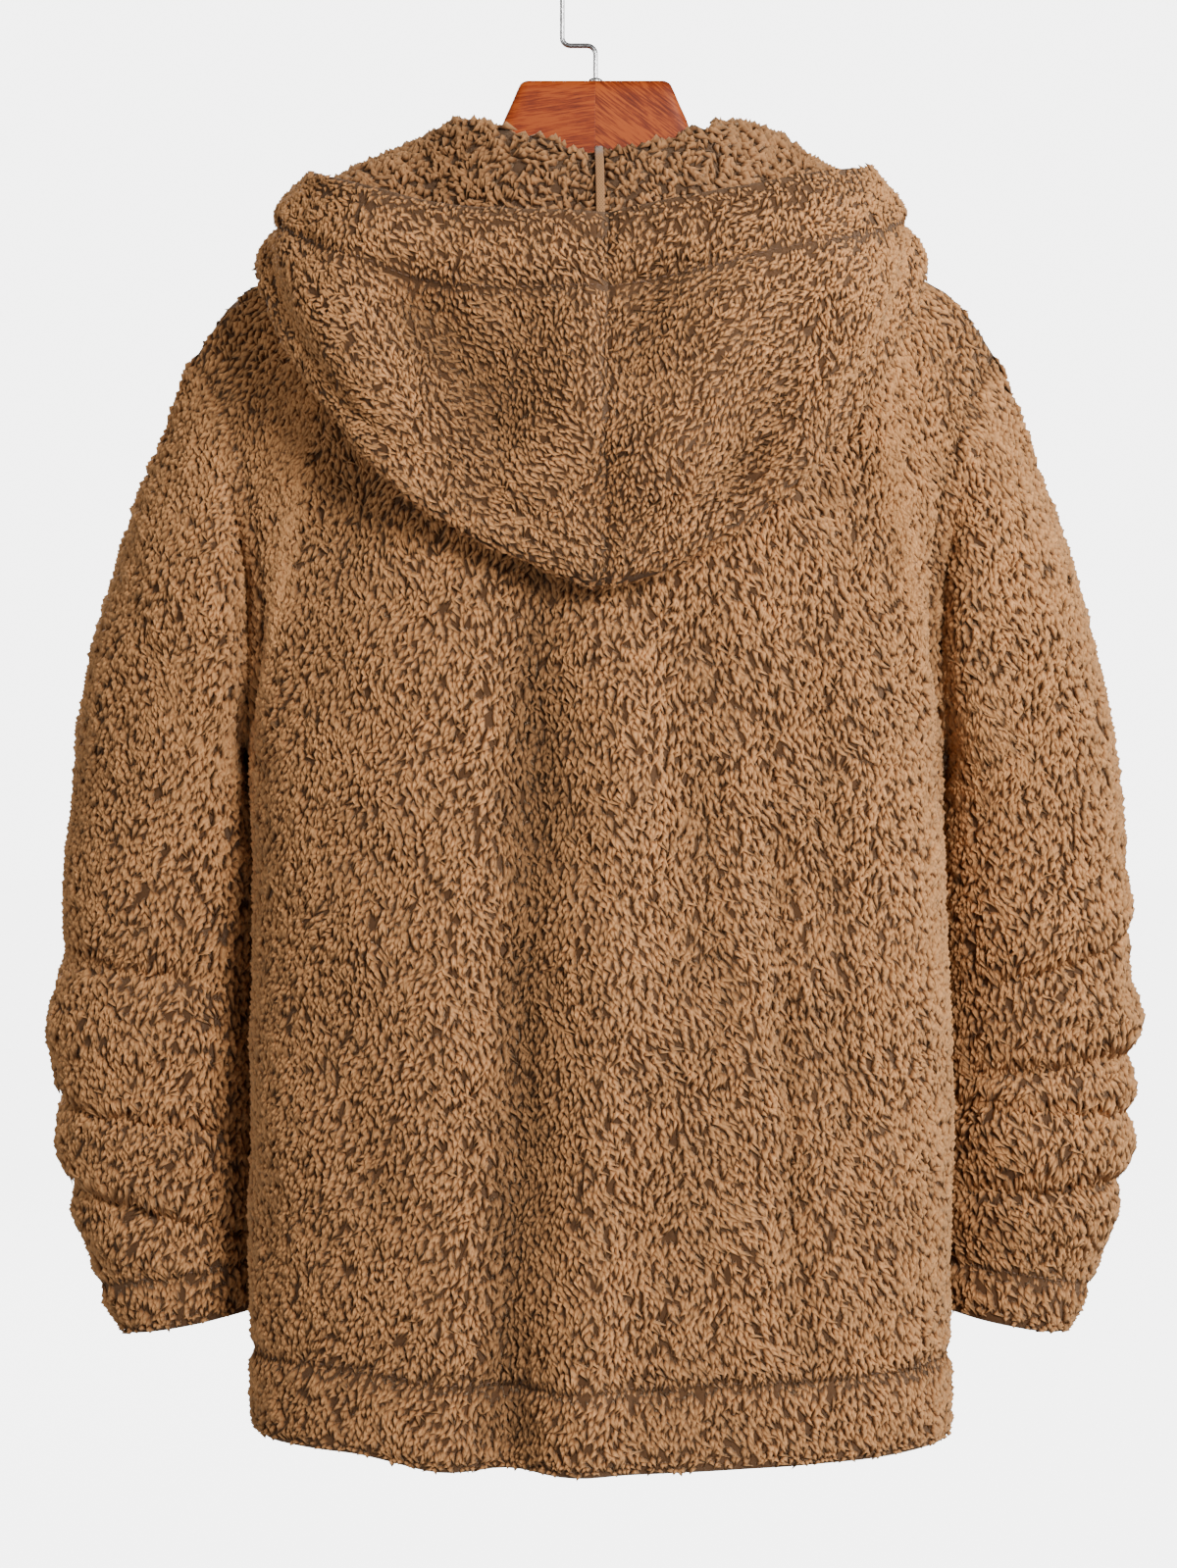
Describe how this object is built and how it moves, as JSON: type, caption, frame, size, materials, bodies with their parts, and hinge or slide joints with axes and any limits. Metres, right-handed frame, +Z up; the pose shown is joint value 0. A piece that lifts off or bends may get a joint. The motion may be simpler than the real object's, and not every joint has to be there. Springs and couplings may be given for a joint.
{
  "type": "hooded fleece jacket on a wooden hanger",
  "caption": "Hooded pile fleece jacket with a front zip, hung filled out and hollow on a wooden hanger with a wire hook.",
  "frame": {"origin": "top of the inside of the hanger's hook, where it bears on a rail", "axes": "+Z up, the jacket's front faces -Y, its back +Y, the wearer's left is +X"},
  "size_m": [0.6739, 0.3021, 0.887],
  "materials": {
    "fleece": "deep curled pile",
    "binding": "woven tape",
    "zip_tape": "woven tape",
    "zip_metal": "antique",
    "wood": "varnished",
    "steel_wire": "polished"
  },
  "bodies": {
    "root": {"back": "fleece", "front_left": "fleece", "front_right": "fleece", "sleeve_left": "fleece", "sleeve_right": "fleece", "hood_left": "fleece", "hood_right": "fleece", "hood_seam_binding": "binding", "zip_tape_left": "zip_tape", "zip_tape_right": "zip_tape", "zip_slider": "zip_metal", "zip_box": "zip_metal", "hanger_left": "wood", "hanger_right": "wood", "hook": "steel_wire", "hook_ferrule": "steel_wire"},
    "zip_pull_tab": {"zip_pull": "zip_metal"}
  },
  "joints": [
    {"name": "zip_pull_hinge", "type": "hinge", "parent": "root", "child": "zip_pull_tab", "pos_m": [0, -0.09377, -0.20928], "axis": [-1, 0, 0], "range_deg": [0, 150]}
  ]
}
